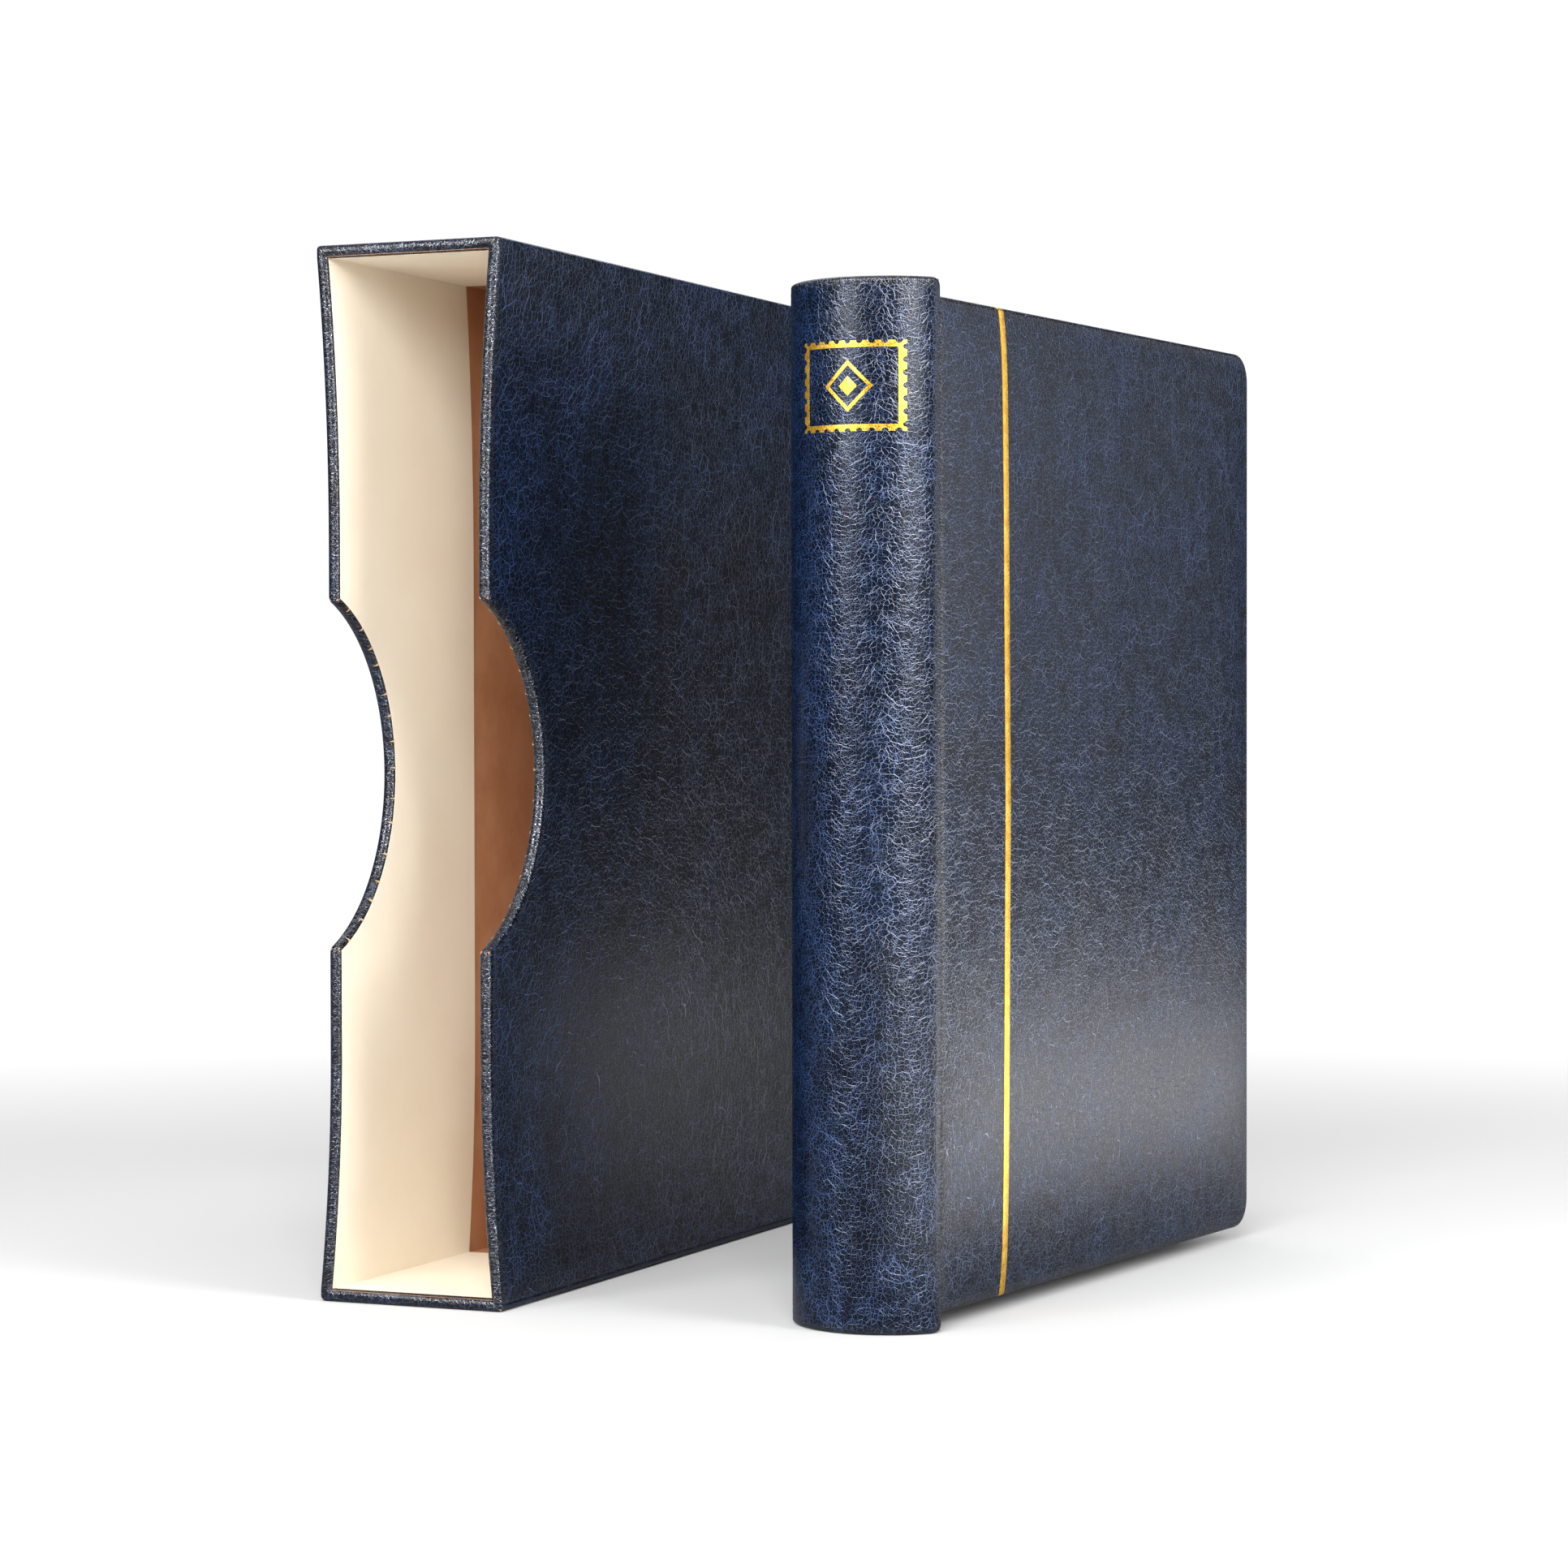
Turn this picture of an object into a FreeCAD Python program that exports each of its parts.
import FreeCAD, Part
import math
import os

# Stamp album with its slipcase, millimetres.
# +X points out of the front cover, +Y from the spine to the fore edges, +Z up.
# The origin is on the foot of the spine, in the middle of its wall, where the album stands.

# ---------------------------------------------------------------- driving dimensions
SKIN = 0.6               # leatherette
PAPER = 0.3              # lining and end papers

SPINE_HEIGHT = 328.0
SPINE_WIDTH = 51.0
SPINE_ARC_RADIUS = 30.0
SPINE_CORNER = 3.0
LEAST_CORNER = 0.4       # rounding of the innermost shoulders
SPINE_SHELL = 3.2        # rounded stiff board
SPINE_REAR_Y = 16.8      # rear edge of the spine's lips
SPINE_PANEL = 2.5        # flat board inside the spine
SPINE_PANEL_BACK_Y = 14.5
SPINE_PANEL_PLAY = 1.3   # between the flat board's edges and the rounded board

STAMP_WIDTH = 34.0       # gold ornament on the spine: a perforated stamp's outline round a diamond
STAMP_HEIGHT = 28.0
STAMP_CENTRE_X = 2.5     # towards the front cover
STAMP_CENTRE_Z = 294.0
STAMP_STROKE = 1.1
STAMP_BITE = 1.0         # radius of a perforation
STAMP_BITES_ACROSS = 9
STAMP_BITES_UP = 7
STAMP_DIAMOND = 8.0
STAMP_HEART = 3.0
STAMP_CUT_START = -20.0  # the shape is cut out of the foil from here
STAMP_CUT_DEPTH = 30.0

COVER_LIFT = 4.8         # the covers hang this far above the spine's foot
COVER_HEIGHT = 318.2
COVER_NEAR_Y = 20.5
COVER_FAR_Y = 268.5
COVER_FACE_X = 22.7      # flat outer face at the cover's rim
COVER_BOARD = 2.7
COVER_CROWN = 2.5        # the padding's rise in the middle
CROWN_BEVEL = 30.0
COVER_CORNER = 10.0
ENDPAPER_MARGIN = 5.0
ENDPAPER_NEAR_MARGIN = 4.0
STRIP_SET_IN = 0.3       # the joint strips stand this far in from the spine's lips
STRIP_GAP = 0.05
TURN_IN = 15.0
LINE_Y = 64.0            # gold line on the front cover
LINE_WIDTH = 3.7
LINE_MARGIN = 0.1        # the gold line stops this short of the cover's edges
FOIL = 0.12

RING_CENTRE_Y = 32.0
RING_RADIUS = 15.0
RING_WIRE = 1.0
RING_COUNT = 13
RING_PITCH = 22.0
BLADE_Y = 15.9
BLADE_THICKNESS = 0.8
BLADE_PIVOT_X = 11.2
BLADE_GAP = 0.2          # from the middle plane to each blade
BLADE_END_PLAY = 1.0
ARCH_HALF_WIDTH = 12.5
ARCH_SHOULDER_Y = 17.8
ARCH_CROWN_Y = 19.7
ARCH_SHEET = 0.7
ARCH_LENGTH = 284.0
ARCH_SLOT_NEAR = 4.0     # slots for the ring wires, from the middle of the plate
ARCH_SLOT_FAR = 11.4
ARCH_SLOT_HALF = 1.7
RIVET_RADIUS = 2.0
RIVET_Z_OFFSET = 99.0
RIVET_HEAD_RADIUS = 3.6
RIVET_HEAD = 0.9
RIVET_TAIL_RADIUS = 3.2
RIVET_TAIL = 0.8
RIVET_ROOM = 1.2         # round each rivet, where the blades move past it
RING_START = 19.0        # degrees from the ring's lowest point to where the wire meets its stem
RING_TIP_GAP = 0.004     # radians, each half stops this short of the ring's top
EAR_SHEET = 1.0          # the arch plate's ears that hold the lever pins
EAR_GAP = 0.3
EAR_LENGTH = 5.5
EAR_RISE = 1.2
LEVER_WIDTH = 8.0
LEVER_HUB_RADIUS = 2.0
LEVER_SHEET = 1.6
LEVER_REACH = 10.5
LEVER_LIP = 1.2          # the finger lip's thickness
LEVER_LIP_LENGTH = 7.0
LEVER_PIN_RADIUS = 1.0
LEVER_PIN_CLEARANCE = 0.08
LEVER_PIN_Y = 17.6
LEVER_PIN_PAST_ARCH = 3.4

LEAF_WIDTH = 216.0
LEAF_HEIGHT = 297.0
LEAF_PACK = 2.4
LEAF_PITCH = 2.6
PACKS_PER_SIDE = 4
SLOT_LENGTH = 8.0
SLOT_WIDTH = 4.5
SLOT_MARGIN = 5.0
SLOT_PLAY = 0.6          # behind the ring wire

CASE_WIDTH = 67.2
CASE_HEIGHT = 346.0
CASE_DEPTH = 277.0
CASE_TURN = 6.27         # degrees, the case stands turned beside the album
CASE_CORNER_X = -116.7   # the mouth's corner nearest the album
CASE_CORNER_Y = -16.5
CASE_SIDE_BOARD = 3.1
CASE_END_BOARD = 3.2
CASE_BOW = 4.0           # the side walls bow inwards at the mouth
CASE_BOW_LOW = 83.0      # the bow is full between these heights
CASE_BOW_HIGH = 250.0
CASE_LEAST_BOW = 0.02    # left at the very back
CASE_SKIN_GAP = 0.2      # between the side skins and the ends' skins
CASE_SKIN_LESS = 0.1     # the side skins are this much thinner
CASE_TURN_IN = 12.0
LINING_DEPTH = 98.0
LINING_SET_BACK = 1.5
NOTCH_RADIUS = 61.0
NOTCH_CENTRE_Y = -23.0

MID_Z = SPINE_HEIGHT / 2
COVER_TOP = COVER_LIFT + COVER_HEIGHT
MANY = 400.0             # longer than anything it cuts
PROUD = 1.0              # how far a cutting shape stands past what it cuts

V = FreeCAD.Vector
UP = V(0, 0, 1)
RIGHT = V(1, 0, 0)
AHEAD = V(0, 1, 0)


# ---------------------------------------------------------------- helpers
def box(x0, x1, y0, y1, z0, z1):
    return Part.makeBox(x1 - x0, y1 - y0, z1 - z0, V(x0, y0, z0))


def mirrored(shape):
    """The same shape on the other side of the album's middle plane."""
    return shape.mirror(V(0, 0, 0), RIGHT)


def line(a, b):
    return Part.LineSegment(a, b).toShape()


def arc(a, b, c):
    return Part.Arc(a, b, c).toShape()


def save(node, shape):
    shape = shape.removeSplitter() if len(shape.Solids) == 1 else shape
    solids = [s for s in shape.Solids if s.Volume > 0.01]
    result = solids[0] if len(solids) == 1 else Part.makeCompound(solids)
    if not result.isValid():
        print("not valid:", node)
    result.exportStep(os.path.join("parts", node + ".step"))


# ---------------------------------------------------------------- spine
def spine_prism(inset, z0, z1, rear_y=SPINE_REAR_Y):
    """D-shaped prism: rounded front, straight sides back to rear_y, set in from the outside by inset."""
    half = SPINE_WIDTH / 2 - inset
    radius = SPINE_ARC_RADIUS - inset
    wall_middle = (SKIN * 2 + SPINE_SHELL) / 2
    centre_y = SPINE_ARC_RADIUS - wall_middle
    shoulder_y = centre_y - math.sqrt(radius ** 2 - half ** 2)
    left = V(-half, shoulder_y, z0)
    right = V(half, shoulder_y, z0)
    nose = V(0, centre_y - radius, z0)
    outline = [
        arc(left, nose, right),
        line(right, V(half, rear_y, z0)),
        line(V(half, rear_y, z0), V(-half, rear_y, z0)),
        line(V(-half, rear_y, z0), left),
    ]
    prism = Part.Face(Part.Wire(outline)).extrude(UP * (z1 - z0))
    shoulders = [
        e for e in prism.Edges
        if abs(e.Length - (z1 - z0)) < 0.01 and abs(e.Vertexes[0].Y - shoulder_y) < 0.01
    ]
    corner = max(SPINE_CORNER - inset, LEAST_CORNER)
    return prism.makeFillet(corner, shoulders)


def make_spine():
    wall = 2 * SKIN + SPINE_SHELL
    outside = spine_prism(0, 0, SPINE_HEIGHT)
    board_outside = spine_prism(SKIN, SKIN, SPINE_HEIGHT - SKIN, SPINE_REAR_Y - SKIN)
    below = -PROUD
    above = SPINE_HEIGHT + PROUD
    behind = SPINE_REAR_Y + PROUD
    board_inside = spine_prism(SKIN + SPINE_SHELL, below, above, behind)
    hollow = spine_prism(wall, below, above, behind)
    shell = board_outside.cut(board_inside)
    beyond_turn_in = spine_prism(SKIN + SPINE_SHELL, TURN_IN, SPINE_HEIGHT - TURN_IN, behind)
    save("spine_shell", shell)
    save("spine_skin", outside.cut(hollow).cut(beyond_turn_in).cut(shell))

    half = SPINE_WIDTH / 2 - wall - SPINE_PANEL_PLAY
    panel = box(-half, half, SPINE_PANEL_BACK_Y - SPINE_PANEL, SPINE_PANEL_BACK_Y, COVER_LIFT, COVER_TOP)
    paper = box(-half, half, SPINE_PANEL_BACK_Y, SPINE_PANEL_BACK_Y + PAPER, COVER_LIFT, COVER_TOP)
    holes = rivet_holes(RIVET_RADIUS)
    save("spine_panel", panel.cut(holes))
    save("spine_lining", paper.cut(holes))


def stamp_frame(width, height):
    low = STAMP_CENTRE_Z - height / 2
    left = STAMP_CENTRE_X - width / 2
    return box(
        left, left + width, STAMP_CUT_START, STAMP_CUT_START + STAMP_CUT_DEPTH, low, low + height
    )


def stamp_diamond(reach):
    centre = V(STAMP_CENTRE_X, STAMP_CUT_START, STAMP_CENTRE_Z)
    corners = [centre + RIGHT * reach, centre + UP * reach, centre - RIGHT * reach, centre - UP * reach]
    face = Part.Face(Part.makePolygon(corners + corners[:1]))
    return face.extrude(AHEAD * STAMP_CUT_DEPTH)


def stamp_bite(x, z):
    """One perforation hole on the stamp's edge."""
    return Part.makeCylinder(STAMP_BITE, STAMP_CUT_DEPTH, V(x, STAMP_CUT_START, z), AHEAD)


def make_ornament():
    """A plain postage-stamp outline with a diamond in it, as thin gold foil on the rounded spine."""
    low = STAMP_CENTRE_Z - STAMP_HEIGHT / 2
    left = STAMP_CENTRE_X - STAMP_WIDTH / 2
    bites = []
    for i in range(STAMP_BITES_ACROSS):
        x = left + (i + 0.5) * STAMP_WIDTH / STAMP_BITES_ACROSS
        bites += [stamp_bite(x, low), stamp_bite(x, low + STAMP_HEIGHT)]
    for i in range(STAMP_BITES_UP):
        z = low + (i + 0.5) * STAMP_HEIGHT / STAMP_BITES_UP
        bites += [stamp_bite(left, z), stamp_bite(left + STAMP_WIDTH, z)]
    border = 2 * (STAMP_BITE + STAMP_STROKE)
    inner = stamp_frame(STAMP_WIDTH - border, STAMP_HEIGHT - border)
    outline = stamp_frame(STAMP_WIDTH, STAMP_HEIGHT).cut(bites).cut(inner)
    diamond_inside = stamp_diamond(STAMP_DIAMOND - STAMP_STROKE * math.sqrt(2))
    diamond = stamp_diamond(STAMP_DIAMOND).cut(diamond_inside)
    stamp = outline.fuse([diamond, stamp_diamond(STAMP_HEART)])
    foil = spine_prism(-FOIL, low, low + STAMP_HEIGHT).cut(spine_prism(0, 0, SPINE_HEIGHT))
    save("spine_ornament", foil.common(stamp))


# ---------------------------------------------------------------- covers
def cover_outline(x, inset, corner):
    """The cover's outline in the plane at x, set in from the rim, with rounded fore corners."""
    near = COVER_NEAR_Y + inset
    far = COVER_FAR_Y - inset
    low = COVER_LIFT + inset
    high = COVER_TOP - inset
    bend = corner * (1 - math.sqrt(0.5))
    edges = [
        line(V(x, near, low), V(x, near, high)),
        line(V(x, near, high), V(x, far - corner, high)),
        arc(V(x, far - corner, high), V(x, far - bend, high - bend), V(x, far, high - corner)),
        line(V(x, far, high - corner), V(x, far, low + corner)),
        arc(V(x, far, low + corner), V(x, far - bend, low + bend), V(x, far - corner, low)),
        line(V(x, far - corner, low), V(x, near, low)),
    ]
    return Part.Wire(edges)


def rounded_slab(x0, x1, inset):
    face = Part.Face(cover_outline(x0, inset, COVER_CORNER - inset))
    return face.extrude(RIGHT * (x1 - x0))


def crown(x, inset):
    """The padding's rise above the plane at x, as a low hill with bevelled sides."""
    foot = cover_outline(x, inset, COVER_CORNER - inset)
    top = cover_outline(x + COVER_CROWN, inset + CROWN_BEVEL, COVER_CORNER)
    return Part.makeLoft([foot, top], True, True)


def make_cover(side, gold_line):
    place = mirrored if side == "back" else (lambda shape: shape)
    inner_x = COVER_FACE_X - 2 * SKIN - COVER_BOARD
    board_x = inner_x + SKIN
    padding_x = board_x + COVER_BOARD
    board = rounded_slab(board_x, padding_x, SKIN)
    padding = crown(padding_x, SKIN)
    outside = rounded_slab(inner_x, COVER_FACE_X, 0).fuse(crown(COVER_FACE_X, 0))
    recess = box(
        inner_x - PROUD, board_x, COVER_NEAR_Y + TURN_IN, COVER_FAR_Y - TURN_IN,
        COVER_LIFT + TURN_IN, COVER_TOP - TURN_IN,
    )
    skin = outside.cut([board, padding, recess])
    endpaper = box(
        inner_x - PAPER, inner_x, COVER_NEAR_Y + ENDPAPER_NEAR_MARGIN, COVER_FAR_Y - ENDPAPER_MARGIN,
        COVER_LIFT + ENDPAPER_MARGIN, COVER_TOP - ENDPAPER_MARGIN,
    )
    if gold_line:
        strip = box(
            COVER_FACE_X - SKIN, MANY, LINE_Y - LINE_WIDTH / 2, LINE_Y + LINE_WIDTH / 2,
            COVER_LIFT + LINE_MARGIN, COVER_TOP - LINE_MARGIN,
        )
        raised = outside.copy()
        raised.translate(RIGHT * FOIL)
        save(side + "_gold_line", place(raised.common(strip).cut(outside)))
    save(side + "_board", place(board))
    save(side + "_padding", place(padding))
    save(side + "_skin", place(skin))
    save(side + "_endpaper", place(endpaper))


def make_joint_strips():
    """Leatherette and lining cloth in the narrow grooves between the spine and the covers."""
    near_x = SPINE_WIDTH / 2 - 2 * SKIN - SPINE_SHELL + STRIP_SET_IN
    outer = box(
        near_x, near_x + SKIN, SPINE_REAR_Y + STRIP_GAP, COVER_NEAR_Y - STRIP_GAP, COVER_LIFT, COVER_TOP
    )
    panel_y = SPINE_PANEL_BACK_Y + PAPER
    inner_x = COVER_FACE_X - 2 * SKIN - COVER_BOARD - PAPER
    inner = box(
        inner_x - STRIP_GAP, inner_x + PAPER, panel_y, COVER_NEAR_Y + ENDPAPER_NEAR_MARGIN,
        COVER_LIFT + ENDPAPER_MARGIN, COVER_TOP - ENDPAPER_MARGIN,
    )
    save("front_outer_joint", outer)
    save("back_outer_joint", mirrored(outer))
    save("front_inner_joint", inner)
    save("back_inner_joint", mirrored(inner))


# ---------------------------------------------------------------- ring mechanism
def ring_heights():
    first = MID_Z - (RING_COUNT - 1) / 2 * RING_PITCH
    return [first + i * RING_PITCH for i in range(RING_COUNT)]


def rivet_heights():
    return [MID_Z - RIVET_Z_OFFSET, MID_Z + RIVET_Z_OFFSET]


def rivet_holes(radius):
    return [Part.makeCylinder(radius, MANY, V(0, -MANY / 2, z), AHEAD) for z in rivet_heights()]


def make_rivets():
    start_y = SPINE_PANEL_BACK_Y - SPINE_PANEL
    rivets = []
    for z in rivet_heights():
        shaft = Part.makeCylinder(RIVET_RADIUS, ARCH_CROWN_Y - start_y, V(0, start_y, z), AHEAD)
        head = Part.makeCylinder(RIVET_HEAD_RADIUS, RIVET_HEAD, V(0, ARCH_CROWN_Y, z), AHEAD)
        tail = Part.makeCylinder(RIVET_TAIL_RADIUS, RIVET_TAIL, V(0, start_y - RIVET_TAIL, z), AHEAD)
        rivets.append(shaft.fuse([head, tail]))
    save("mechanism_rivets", Part.makeCompound(rivets))


def arch_profile(inset, z0, z1):
    """The arched plate's section, as a closed prism from the lining up to its crown."""
    half = ARCH_HALF_WIDTH - inset
    foot_y = SPINE_PANEL_BACK_Y + PAPER
    shoulder_y = ARCH_SHOULDER_Y - inset
    crown_y = ARCH_CROWN_Y - inset
    outline = [
        line(V(-half, foot_y, z0), V(-half, shoulder_y, z0)),
        arc(V(-half, shoulder_y, z0), V(0, crown_y, z0), V(half, shoulder_y, z0)),
        line(V(half, shoulder_y, z0), V(half, foot_y, z0)),
        line(V(half, foot_y, z0), V(-half, foot_y, z0)),
    ]
    return Part.Face(Part.Wire(outline)).extrude(UP * (z1 - z0))


def make_arch():
    z0 = MID_Z - ARCH_LENGTH / 2
    z1 = MID_Z + ARCH_LENGTH / 2
    plate = arch_profile(0, z0, z1).cut(arch_profile(ARCH_SHEET, z0 - PROUD, z1 + PROUD))
    slots = []
    for z in ring_heights():
        for x in (-ARCH_SLOT_FAR, ARCH_SLOT_NEAR):
            slots.append(box(
                x, x + ARCH_SLOT_FAR - ARCH_SLOT_NEAR,
                ARCH_SHOULDER_Y - ARCH_SHEET, ARCH_CROWN_Y + PROUD,
                z - ARCH_SLOT_HALF, z + ARCH_SLOT_HALF,
            ))
    plate = plate.cut(slots).cut(rivet_holes(RIVET_RADIUS))
    foot_y = SPINE_PANEL_BACK_Y + PAPER
    inner_x = LEVER_WIDTH / 2 + EAR_GAP
    outer_x = inner_x + EAR_SHEET
    ears = []
    for low, high in ((z0 - EAR_LENGTH, z0), (z1, z1 + EAR_LENGTH)):
        for x in (-outer_x, inner_x):
            ears.append(box(x, x + EAR_SHEET, foot_y, ARCH_SHOULDER_Y + EAR_RISE, low, high))
        ears.append(box(-outer_x, outer_x, foot_y, foot_y + ARCH_SHEET, low, high))
    pins = [
        Part.makeCylinder(LEVER_PIN_RADIUS, 2 * LEVER_WIDTH, V(-LEVER_WIDTH, LEVER_PIN_Y, z), RIGHT)
        for z in lever_pin_heights()
    ]
    save("arch_plate", plate.fuse(ears).cut(pins))


def lever_pin_heights():
    past = ARCH_LENGTH / 2 + LEVER_PIN_PAST_ARCH
    return [MID_Z - past, MID_Z + past]


def blade_and_rings(name):
    """One blade with its thirteen ring halves, on the +X side; the -X side mirrors it."""
    z0 = MID_Z - ARCH_LENGTH / 2 + BLADE_END_PLAY
    z1 = MID_Z + ARCH_LENGTH / 2 - BLADE_END_PLAY
    blade = box(BLADE_GAP, BLADE_PIVOT_X, BLADE_Y, BLADE_Y + BLADE_THICKNESS, z0, z1)
    blade = blade.cut(rivet_holes(RIVET_RADIUS + RIVET_ROOM))
    start = math.radians(RING_START)
    top = math.pi - RING_TIP_GAP
    rings = []
    for z in ring_heights():
        points = [
            V(RING_RADIUS * math.sin(a), RING_CENTRE_Y - RING_RADIUS * math.cos(a), z)
            for a in (start, (start + top) / 2, top)
        ]
        path = Part.Wire([arc(*points)])
        direction = V(math.cos(start), math.sin(start), 0)
        section = Part.Wire([Part.makeCircle(RING_WIRE, points[0], direction)])
        wire = path.makePipeShell([section], True, True)
        stem_foot = V(points[0].x, BLADE_Y + BLADE_THICKNESS / 2, z)
        stem = Part.makeCylinder(RING_WIRE, points[0].y - stem_foot.y, stem_foot, AHEAD)
        joint_ball = Part.makeSphere(RING_WIRE, points[0])
        rings.append(wire.fuse([stem, joint_ball]).cut(blade))
    place = mirrored if name == "left" else (lambda shape: shape)
    save(name + "_blade", place(blade))
    save(name + "_rings", place(Part.makeCompound(rings)))


def make_levers():
    """A bent finger lever at each end, turning on a pin across the arch's ears."""
    half = LEVER_WIDTH / 2
    bore = LEVER_PIN_RADIUS + LEVER_PIN_CLEARANCE
    for name, pin_z, sense in (
        ("lower_lever", lever_pin_heights()[0], -1),
        ("upper_lever", lever_pin_heights()[1], 1),
    ):
        hub = Part.makeCylinder(LEVER_HUB_RADIUS, LEVER_WIDTH, V(-half, LEVER_PIN_Y, pin_z), RIGHT)
        tip_y = LEVER_PIN_Y + LEVER_REACH
        low, high = sorted((pin_z, pin_z + sense * LEVER_SHEET))
        arm = box(-half, half, LEVER_PIN_Y, tip_y, low, high)
        low, high = sorted((pin_z, pin_z + sense * LEVER_LIP_LENGTH))
        lip = box(-half, half, tip_y - LEVER_LIP, tip_y, low, high)
        bored = hub.fuse([arm, lip]).cut(
            Part.makeCylinder(bore, 2 * LEVER_WIDTH, V(-LEVER_WIDTH, LEVER_PIN_Y, pin_z), RIGHT)
        )
        save(name, bored)
    pin_half = half + EAR_GAP + EAR_SHEET
    pins = [
        Part.makeCylinder(LEVER_PIN_RADIUS, 2 * pin_half, V(-pin_half, LEVER_PIN_Y, z), RIGHT)
        for z in lever_pin_heights()
    ]
    save("lever_pins", Part.makeCompound(pins))


# ---------------------------------------------------------------- leaves
def make_leaves():
    z0 = MID_Z - LEAF_HEIGHT / 2
    for side in (1, -1):
        for i in range(PACKS_PER_SIDE):
            middle = (i + 0.5) * LEAF_PITCH
            outer = middle + LEAF_PACK / 2
            slot_y = RING_CENTRE_Y + math.sqrt(RING_RADIUS ** 2 - outer ** 2) - RING_WIRE - SLOT_PLAY
            near_y = slot_y - SLOT_MARGIN
            pack = box(
                middle - LEAF_PACK / 2, outer, near_y, near_y + LEAF_WIDTH, z0, z0 + LEAF_HEIGHT
            )
            slots = [
                box(0, MANY, slot_y, slot_y + SLOT_LENGTH, z - SLOT_WIDTH / 2, z + SLOT_WIDTH / 2)
                for z in ring_heights()
            ]
            pack = pack.cut(slots)
            name = ("front" if side == 1 else "back") + "_leaves_%d" % (i + 1)
            save(name, pack if side == 1 else mirrored(pack))


# ---------------------------------------------------------------- slipcase
def in_place(shape):
    """From the case's own frame (x across its middle, y in from the mouth) to the album's frame."""
    half = CASE_WIDTH / 2
    shape = shape.copy()
    shape.translate(V(-half, 0, 0))
    shape.rotate(V(0, 0, 0), UP, CASE_TURN)
    shape.translate(V(CASE_CORNER_X, CASE_CORNER_Y, 0))
    return shape


def wall_edge(x, y):
    """One upright edge line of a side wall at depth y: bent near its ends, straight between."""
    sag = max(CASE_BOW * (1 - y / CASE_DEPTH), CASE_LEAST_BOW)
    low = SKIN + CASE_END_BOARD
    high = CASE_HEIGHT - low
    ends_and_middles = [
        (low, 0), ((low + CASE_BOW_LOW) / 2, 0.75), (CASE_BOW_LOW, 1),
        (CASE_BOW_HIGH, 1), ((high + CASE_BOW_HIGH) / 2, 0.75), (high, 0),
    ]
    p = [V(x - sag * share, y, z) for z, share in ends_and_middles]
    return [arc(p[0], p[1], p[2]), line(p[2], p[3]), arc(p[3], p[4], p[5])], p[0], p[5]


def wall_slab(x0, x1, y0, y1):
    """A slab of the +X wall from x0 to x1, bowed inwards at the mouth and straight at the back."""
    sections = []
    for y in (y0, y1):
        outer, outer_low, outer_high = wall_edge(x1, y)
        inner, inner_low, inner_high = wall_edge(x0, y)
        edges = outer + inner + [line(outer_high, inner_high), line(inner_low, outer_low)]
        sections.append(Part.Wire(Part.__sortEdges__(edges)))
    return Part.makeLoft(sections, True, True)


def notch(grow):
    return Part.makeCylinder(
        NOTCH_RADIUS + grow, MANY, V(-MANY / 2, NOTCH_CENTRE_Y, CASE_HEIGHT / 2), RIGHT
    )


def make_case_side(side):
    half = CASE_WIDTH / 2
    face = half - SKIN + CASE_SKIN_LESS
    board_in = face - CASE_SIDE_BOARD
    board = wall_slab(board_in, face, SKIN, CASE_DEPTH - SKIN).cut(notch(SKIN))
    outside = wall_slab(face, half, 0, CASE_DEPTH - SKIN).cut(notch(0))
    rim = wall_slab(board_in - PAPER, face, 0, SKIN).cut(notch(0))
    near_mouth = wall_slab(board_in - PAPER, face, SKIN, CASE_DEPTH / 2)
    round_notch = notch(SKIN).cut(notch(0)).common(near_mouth)
    turned_in = wall_slab(board_in - PAPER, board_in, SKIN, CASE_TURN_IN).cut(notch(SKIN))
    skin = outside.fuse([rim, round_notch, turned_in])
    lining = wall_slab(board_in - 2 * PAPER, board_in - PAPER, LINING_SET_BACK, LINING_DEPTH)
    lining = lining.cut(notch(LINING_SET_BACK))
    place = (lambda s: in_place(s.mirror(V(0, 0, 0), RIGHT))) if side == "left" else in_place
    save("case_%s_board" % side, place(board))
    save("case_%s_skin" % side, place(skin))
    save("case_%s_lining" % side, place(lining))


def make_case_ends():
    half = CASE_WIDTH / 2
    floor = box(-half + SKIN, half - SKIN, SKIN, CASE_DEPTH - SKIN, SKIN, SKIN + CASE_END_BOARD)
    envelope = box(-half, half, 0, CASE_DEPTH, 0, SKIN + CASE_END_BOARD - CASE_SKIN_GAP)
    skin = envelope.cut(floor)
    inside = half - SKIN + CASE_SKIN_LESS - CASE_SIDE_BOARD - 2 * PAPER
    low = SKIN + CASE_END_BOARD
    paper = box(-inside, inside, LINING_SET_BACK, LINING_DEPTH, low, low + PAPER)
    middle = V(0, 0, CASE_HEIGHT / 2)
    for name, shape in (("board", floor), ("skin", skin), ("lining", paper)):
        save("case_bottom_" + name, in_place(shape))
        save("case_top_" + name, in_place(shape.mirror(middle, UP)))


def make_case_back():
    half = CASE_WIDTH / 2
    low = SKIN + CASE_END_BOARD
    inside = half - SKIN - CASE_SIDE_BOARD
    back_y = CASE_DEPTH - SKIN
    board = box(-inside, inside, back_y - CASE_SIDE_BOARD, back_y, low, CASE_HEIGHT - low)
    skin = box(-half, half, CASE_DEPTH - SKIN, CASE_DEPTH, low, CASE_HEIGHT - low)
    save("case_back_board", in_place(board))
    save("case_back_skin", in_place(skin))


os.makedirs("parts", exist_ok=True)
make_spine()
make_ornament()
make_cover("front", True)
make_cover("back", False)
make_joint_strips()
make_arch()
make_rivets()
blade_and_rings("right")
blade_and_rings("left")
make_levers()
make_leaves()
make_case_side("left")
make_case_side("right")
make_case_ends()
make_case_back()
